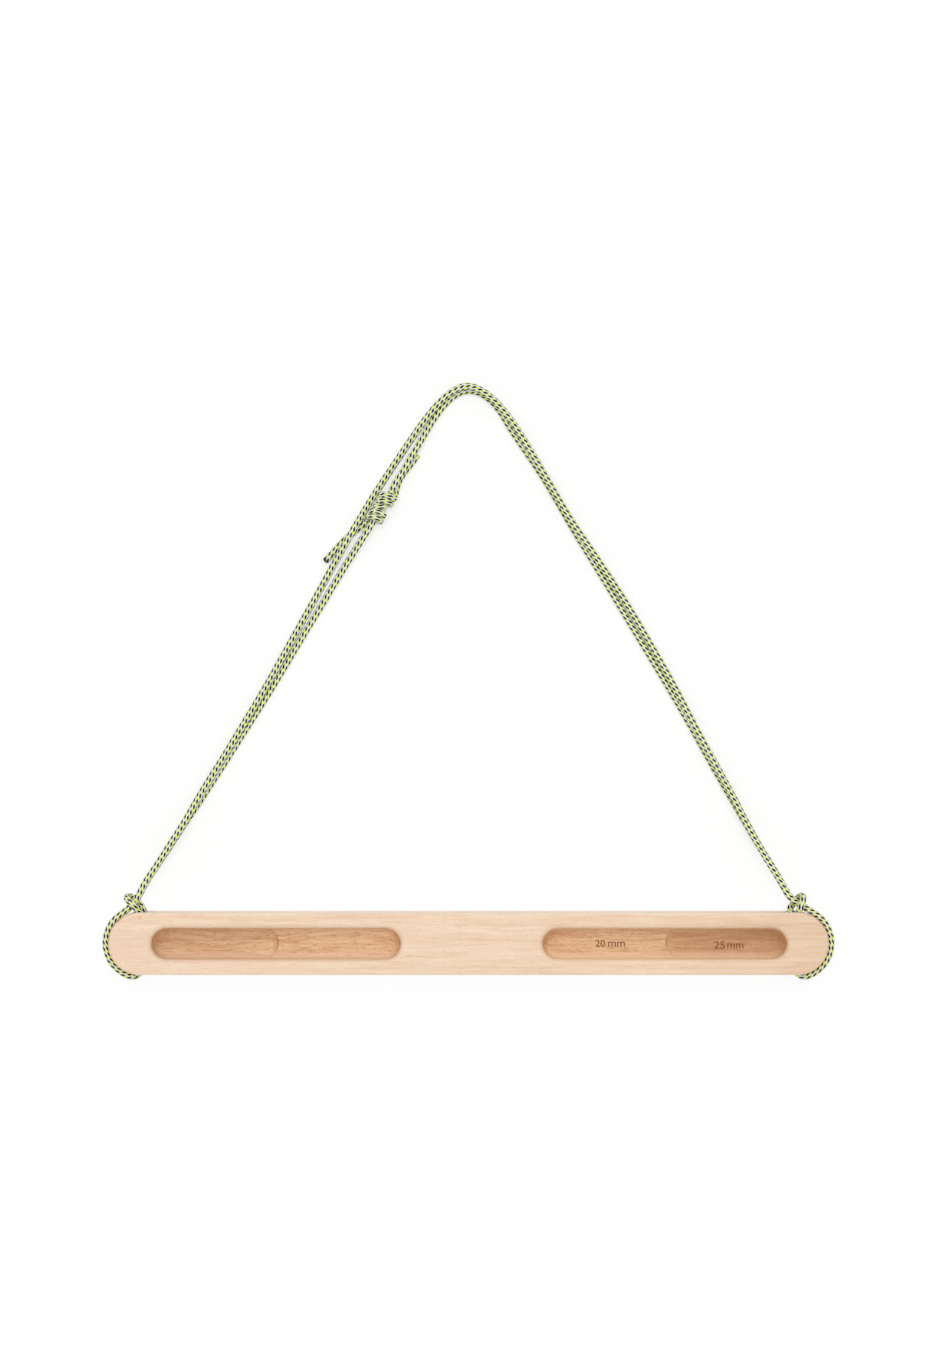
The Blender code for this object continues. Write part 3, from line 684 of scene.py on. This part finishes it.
def beech_finish():
    """Bare sanded beech. Its grain runs along the bar in slow waves, and shows most where it was routed."""
    finish = Finish("beech", specular_ior_level=0.3)
    pocket, wall, end, side = (
        finish.attribute(name) for name in ("pocket", "pocket_wall", "end_grain", "side_face")
    )
    own = finish.own()
    sway = finish.noise(own, SWAY) - 0.5
    shift = finish.node("ShaderNodeCombineXYZ", {}, {"Y": sway * GRAIN_SWAY, "Z": sway * GRAIN_SWAY})
    grain = finish.node("ShaderNodeVectorMath", {"operation": "ADD"}, {0: own, 1: shift})
    bands, streaks, fibre = (finish.noise(grain, pattern) for pattern in (BANDS, STREAKS, FIBRE))
    dashes = (finish.noise(grain, DASHES) + pocket * ROUTED_DASH_LIFT).between(*DASH_CUT)
    blush = finish.noise(own, BLUSH).between(*BLUSH_CUT)

    def toned(shares, tones):
        """The dark and light tone, mixed by the grain's patterns in the given shares."""
        tone = 0.5 + (bands - 0.5) * shares[0] + (streaks - 0.5) * shares[1] + (fibre - 0.5) * shares[2]
        return finish.mix(tone.between(*TONE_CUT), *tones)

    sanded = toned(SANDED_SHARES, SANDED_TONES)
    sanded = finish.mix(blush * SANDED_BLUSH_SHARE, sanded, SANDED_BLUSH)
    routed = toned(ROUTED_SHARES, ROUTED_TONES)
    routed = finish.mix(streaks.between(*STREAK_CUT) * ROUTED_STREAK_SHARE, routed, ROUTED_STREAK)
    routed = finish.mix(blush * ROUTED_BLUSH_SHARE, routed, ROUTED_BLUSH)
    # Painted shade: the deeper floors are darkened, as the deeper recess gets less light
    routed = finish.mix(finish.attribute("deep_floor"), routed, DEEP_FLOOR_PAINTED_SHADE, "MULTIPLY")
    colour = finish.mix(pocket, sanded, routed)
    along_bar = finish.part_of(own, 0)
    right_end = along_bar.between(*RIGHT_END_FADE) * (1.0 - wall)
    colour = finish.mix(right_end, colour, RIGHT_END_SHADE, "MULTIPLY")
    right_floor = pocket * (1.0 - wall) * (1.0 - end) * along_bar.between(*RIGHT_FLOOR_FADE)
    colour = finish.mix(right_floor, colour, RIGHT_FLOOR_SHADE, "MULTIPLY")
    # Painted light: the pockets' long walls are mixed towards a pale colour where the light inside the
    # pockets leaves them dark, the right pocket's walls more than the left's
    more_light_on_the_right = (RIGHT_WALL_PAINTED_LIGHT_SHARE - LEFT_WALL_PAINTED_LIGHT_SHARE) * along_bar.between(*RIGHT_WALL_LIGHT_FADE)
    colour = finish.mix(wall * (LEFT_WALL_PAINTED_LIGHT_SHARE + more_light_on_the_right), colour, PAINTED_WALL_LIGHT)
    dash = finish.mix(pocket, SANDED_DASH, ROUTED_DASH)
    colour = finish.mix(dashes * (1.0 - side * 0.5) * DASH_SHARE, colour, dash)
    colour = finish.mix(end * END_GRAIN_SHARE, colour, END_GRAIN)
    # Painted light: the side faces are paled as if brightly lit
    colour = finish.mix(side * SIDE_FACE_LIGHT_SHARE, colour, SIDE_FACE_PAINTED_LIGHT)
    distance = {"operation": "DISTANCE"}
    from_twig = finish.node("ShaderNodeVectorMath", distance, {0: own, 1: TWIG_MARK}, 1)
    ring = (1.0 - abs(from_twig - TWIG_RING_RADIUS) * TWIG_RING_FADE).between(0.0, 1.0)
    colour = finish.mix(ring * TWIG_RING_SHARE, colour, TWIG_RING)
    finish.feed("Base Color", colour)
    finish.feed("Roughness", 0.48 + fibre * 0.2 - blush * 0.06)
    finish.bump(fibre, FIBRE_RELIEF, 0.3)
    return finish.material


def burnt_finish():
    """Wood scorched by the tool that marked it."""
    finish = Finish("burnt_mark", roughness=0.7, specular_ior_level=0.2)
    finish.feed("Base Color", finish.mix(finish.noise(finish.own(), CHAR), *BURNT_TONES))
    return finish.material


def quarter(steps=10):
    """Angles of a quarter round, from 0 to 90 degrees."""
    return np.linspace(0.0, math.pi / 2, steps + 1)


def stadium_rings(length, height, middle, rows, steps):
    """Outlines with two straight sides and two half-round ends, one for each inset and level."""
    inset, level = np.array(rows).T[:, :, None]
    radius = height / 2 - inset
    turn = np.linspace(-math.pi / 2, math.pi / 2, steps + 1)[None, :]
    x = (length - height) / 2 + radius * np.cos(turn)
    y = radius * np.sin(turn)
    outline = np.concatenate([np.stack([x, y], -1), np.stack([-x, -y], -1)], axis=1)
    levels = np.broadcast_to(level[:, :, None], (*outline.shape[:2], 1))
    return np.concatenate([outline + [middle, 0.0], levels], axis=2)


def bar_blank():
    """The bar before it is cut: half-round ends, and a small quarter round on both outlines."""
    rows = [(BAR_EDGE_ROUND * (1 - math.sin(a)), BAR_EDGE_ROUND * (1 - math.cos(a))) for a in quarter(8)]
    rows += [(inset, BAR_THICKNESS - level) for inset, level in reversed(rows)]
    return ring_mesh("hangboard_bar", stadium_rings(BAR_LENGTH, BAR_HEIGHT, 0.0, rows, BAR_END_STEPS))


def pocket_cutter(name, ends, depth, top_rows):
    """The room of one pocket: a floor rounded up into its walls, then the rows above them."""
    floor = BAR_THICKNESS - depth
    rows = [(FLOOR_ROUND * (1 - math.sin(a)), floor + FLOOR_ROUND * (1 - math.cos(a))) for a in quarter()]
    length, middle = ends[1] - ends[0], sum(ends) / 2
    rings = stadium_rings(length, POCKET_HEIGHT, middle, rows + top_rows, POCKET_END_STEPS)
    return ring_mesh(name, rings)


def bore_cutter(name, x):
    """The room of one bore: circles along Y whose radius grows evenly towards both mouths."""
    flare = BORE_MOUTH + CUT_MARGIN
    half = [(BAR_HEIGHT / 2 + CUT_MARGIN - t * flare, BORE_DIAMETER / 2 + flare * (1 - t))
            for t in np.linspace(0.0, 1.0, 6)]
    rows = np.array([(-y, r) for y, r in half] + [(y, r) for y, r in reversed(half)])
    y, radius = rows[:, :1], rows[:, 1:]
    angle = np.linspace(0.0, 2 * math.pi, BORE_SIDES, endpoint=False)[None, :]
    across = x + radius * np.sin(angle)
    up = BAR_THICKNESS / 2 + radius * np.cos(angle)
    return ring_mesh(name, np.stack([across, np.broadcast_to(y, across.shape), up], -1))


def mark_cutter(words, middle, width, height):
    """Plain letters as a closed mesh that reaches just under the pocket's floor."""
    curve = bpy.data.curves.new("depth_mark", "FONT")
    curve.body = words
    curve.extrude = MARK_DEPTH
    curve.offset = MARK_BOLDNESS
    curve.resolution_u = 5
    letters = placed(curve)
    bpy.context.view_layer.update()
    mesh = bpy.data.meshes.new_from_object(letters.evaluated_get(bpy.context.evaluated_depsgraph_get()))
    bpy.data.objects.remove(letters)
    shell = bmesh.new()
    shell.from_mesh(mesh)
    bmesh.ops.remove_doubles(shell, verts=shell.verts, dist=1e-6)
    bmesh.ops.recalc_face_normals(shell, faces=shell.faces)
    shell.to_mesh(mesh)
    shell.free()
    places = values_of(mesh.vertices, "co", 3, float)
    low, high = places.min(axis=0), places.max(axis=0)
    scale = np.array([width / (high[0] - low[0]), height / (high[1] - low[1]), 1.0])
    places = (places - (low + high) / 2) * scale + middle
    mesh.vertices.foreach_set("co", places.ravel())
    return placed(mesh)


def cut_bar(bar, cutters):
    """Takes every cutter's room out of the bar, which stays one plain mesh."""
    for cutter in cutters:
        cut = bar.modifiers.new(cutter.name, "BOOLEAN")
        cut.operation = "DIFFERENCE"
        cut.solver = "EXACT"
        cut.material_mode = "TRANSFER"
        cut.object = cutter
    bpy.context.view_layer.update()
    mesh = bpy.data.meshes.new_from_object(bar.evaluated_get(bpy.context.evaluated_depsgraph_get()))
    mesh.name = "hangboard_bar"
    bar.modifiers.clear()
    bar.data = mesh
    for cutter in cutters:
        bpy.data.objects.remove(cutter)
    mesh.shade_smooth()
    mesh.set_sharp_from_angle(angle=math.radians(SHARP_ANGLE))


def level_shading(mesh):
    """Shades the level faces flat, and the roundings next to them so that they start level.

    A face is level where its normal is straight up or down. Every smooth corner that touches one
    takes that direction.
    """
    corners = values_of(mesh.corner_normals, "vector", 3)
    index = values_of(mesh.loops, "vertex_index", kind=np.int32)
    sizes = values_of(mesh.polygons, "loop_total", kind=np.int32)
    upright = np.repeat(values_of(mesh.polygons, "normal", 3)[:, 2], sizes)
    level = np.zeros(len(mesh.vertices))
    level[index[upright > LEVEL]] = 1.0
    level[index[upright < -LEVEL]] = -1.0
    facing = level[index]
    nearly = math.cos(math.radians(NEARLY_LEVEL_ANGLE))
    smooth = (corners[:, 2] * facing > nearly) | (np.abs(upright) > LEVEL)
    corners[smooth] = np.stack([facing * 0, facing * 0, facing], axis=-1)[smooth]
    mesh.normals_split_custom_set(corners.tolist())


def bar_attributes(mesh):
    """Where the wood is routed, deep, a long wall, end grain or a side face, at every face corner."""
    normals = values_of(mesh.corner_normals, "vector", 3)
    index = values_of(mesh.loops, "vertex_index", kind=np.int32)
    x, y, z = values_of(mesh.vertices, "co", 3)[index].T
    margin = LIP_ROUND + EDGE_MARGIN
    inside = np.abs(y) < POCKET_HEIGHT / 2 + margin
    inside &= np.any([(x > a - margin) & (x < b + margin) for a, b in (LEFT_POCKET, RIGHT_POCKET)], axis=0)
    inside &= z > BAR_THICKNESS - DEEP_DEPTH - FLOOR_MARGIN
    depth = np.clip((BAR_THICKNESS - z - ROUTED_FROM) / ROUTED_RISE, 0.0, 1.0)
    # Painted light: the lower long wall, which faces the sun, keeps all of the sanded tone and the upper
    # one less, so the lower wall shows lighter
    sanded = np.where(normals[:, 1] > 0, LOWER_WALL_PAINTED_LIGHT_SHARE, UPPER_WALL_PAINTED_LIGHT_SHARE) * np.abs(normals[:, 1])
    store(mesh, "pocket", "CORNER", inside * depth * depth * (3 - 2 * depth) * (1 - sanded))
    deep = np.clip((BAR_THICKNESS - SHALLOW_DEPTH - z) / (DEEP_DEPTH - SHALLOW_DEPTH), 0.0, 1.0)
    store(mesh, "deep_floor", "CORNER", inside * deep)
    steep = np.clip(1.2 - 1.2 * np.abs(normals[:, 2]), 0.0, 1.0)
    store(mesh, "pocket_wall", "CORNER", inside * steep * normals[:, 1] ** 2)
    store(mesh, "end_grain", "CORNER", np.abs(normals[:, 0]) ** 1.5)
    side = np.clip((np.abs(y) - BAR_HEIGHT / 2 + BAR_EDGE_ROUND) / BAR_EDGE_ROUND, 0.0, 1.0)
    store(mesh, "side_face", "CORNER", side ** 2)


def hangboard_bar():
    """The bar with its pockets, bores and burnt depth marks."""
    wall_top = BAR_THICKNESS - LIP_ROUND
    lip = [(-LIP_ROUND * (1 - math.cos(a)), wall_top + LIP_ROUND * math.sin(a)) for a in quarter()]
    lip.append((-LIP_ROUND, BAR_THICKNESS + CUT_MARGIN))
    beech, burnt = beech_finish(), burnt_finish()
    bar = bar_blank()
    cutters = [
        pocket_cutter("left_pocket_cut", LEFT_POCKET, SHALLOW_DEPTH, lip),
        pocket_cutter("left_deep_cut", LEFT_DEEP, DEEP_DEPTH, lip[:1]),
        pocket_cutter("right_pocket_cut", RIGHT_POCKET, SHALLOW_DEPTH, lip),
        pocket_cutter("right_deep_cut", RIGHT_DEEP, DEEP_DEPTH, lip[:1]),
        bore_cutter("left_bore_cut", -BORE_FROM_MIDDLE),
        bore_cutter("right_bore_cut", BORE_FROM_MIDDLE),
    ]
    for piece in [bar, *cutters]:
        piece.data.materials.append(beech)
    marks = [mark_cutter(*mark) for mark in DEPTH_MARKS]
    for mark in marks:
        mark.data.materials.append(burnt)
    cut_bar(bar, cutters + marks)
    bar_attributes(bar.data)
    level_shading(bar.data)
    return bar


def seen_directly(tree):
    """1 for the rays that show a surface itself, and 0 for those that only carry its light."""
    rays = tree.nodes.new("ShaderNodeLightPath")
    seen = rays.outputs["Is Camera Ray"]
    for name in ("Is Glossy Ray", "Is Transmission Ray"):
        either = tree.nodes.new("ShaderNodeMath")
        either.operation = "MAXIMUM"
        tree.links.new(seen, either.inputs[0])
        tree.links.new(rays.outputs[name], either.inputs[1])
        seen = either.outputs[0]
    return seen


def light():
    """One broad soft sun, leaning towards the sling's top, and even light all round."""
    sun = bpy.data.lights.new("sun", "SUN")
    sun.energy = SUN_STRENGTH
    sun.angle = math.radians(SUN_WIDTH)
    placed(sun).rotation_euler = (math.radians(-SUN_TILT), 0.0, 0.0)
    world = bpy.data.worlds.new("studio")
    world.use_nodes = True
    tree = world.node_tree
    around = tree.nodes["Background"]
    around.inputs["Color"].default_value = (1.0, 1.0, 1.0, 1.0)
    level = tree.nodes.new("ShaderNodeMapRange")
    level.inputs["To Min"].default_value = SURROUND_LIGHT
    level.inputs["To Max"].default_value = 1.0
    tree.links.new(seen_directly(tree), level.inputs[0])
    tree.links.new(level.outputs[0], around.inputs["Strength"])
    bpy.context.scene.world = world


def pale_floor():
    """A white floor that glows where it is seen, less above the bar, where the sling's shadow shows."""
    corners = [(x * FLOOR_HALF, y * FLOOR_HALF, 0) for x, y in ((-1, -1), (1, -1), (1, 1), (-1, 1))]
    mesh = bpy.data.meshes.new("floor")
    mesh.from_pydata(corners, [], [(0, 1, 2, 3)])
    floor = placed(mesh)
    pale = Finish("pale_floor", roughness=0.9, specular_ior_level=0.0)
    pale.feed("Base Color", (1.0, 1.0, 1.0))
    seen = Value(pale, seen_directly(pale.tree))
    above_bar = pale.part_of(pale.own(), 1).between(*GLOW_DROP_ABOVE_BAR)
    share = FLOOR_GLOW - FLOOR_GLOW_DROP * above_bar
    glow = pale.node("ShaderNodeEmission", {}, {"Color": (1.0, 1.0, 1.0), "Strength": 1.0})
    lit = Value(pale, pale.shader.outputs[0])
    mixed = pale.node("ShaderNodeMixShader", {}, {0: share * seen, 1: lit, 2: glow})
    pale.tree.links.new(mixed.socket, pale.tree.nodes["Material Output"].inputs["Surface"])
    mesh.materials.append(pale.material)


def camera():
    """A camera straight above the middle of the bar and its sling."""
    view = bpy.data.cameras.new("camera")
    view.lens = CAMERA_LENS
    view.clip_end = 50.0
    bpy.context.scene.camera = placed(view, CAMERA_PLACE)


bpy.context.scene.view_settings.view_transform = "Standard"
camera()
light()
pale_floor()

cord, cord_line, cord_length = braided_cord()
cord.data.materials.append(braid_finish())
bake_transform(cord)
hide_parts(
    "left_hitch", "right_hitch", "front_left_bend", "back_left_bend", "front_right_bend",
    "back_right_bend", "front_left_leg", "front_right_leg", "back_right_leg",
    "back_lower_left_leg", "back_upper_left_leg", "front_apex", "back_apex",
    "joining_knot_lower", "joining_knot_upper",
)

bar = hangboard_bar()
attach(bar, "hangboard")
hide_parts("wooden_bar")
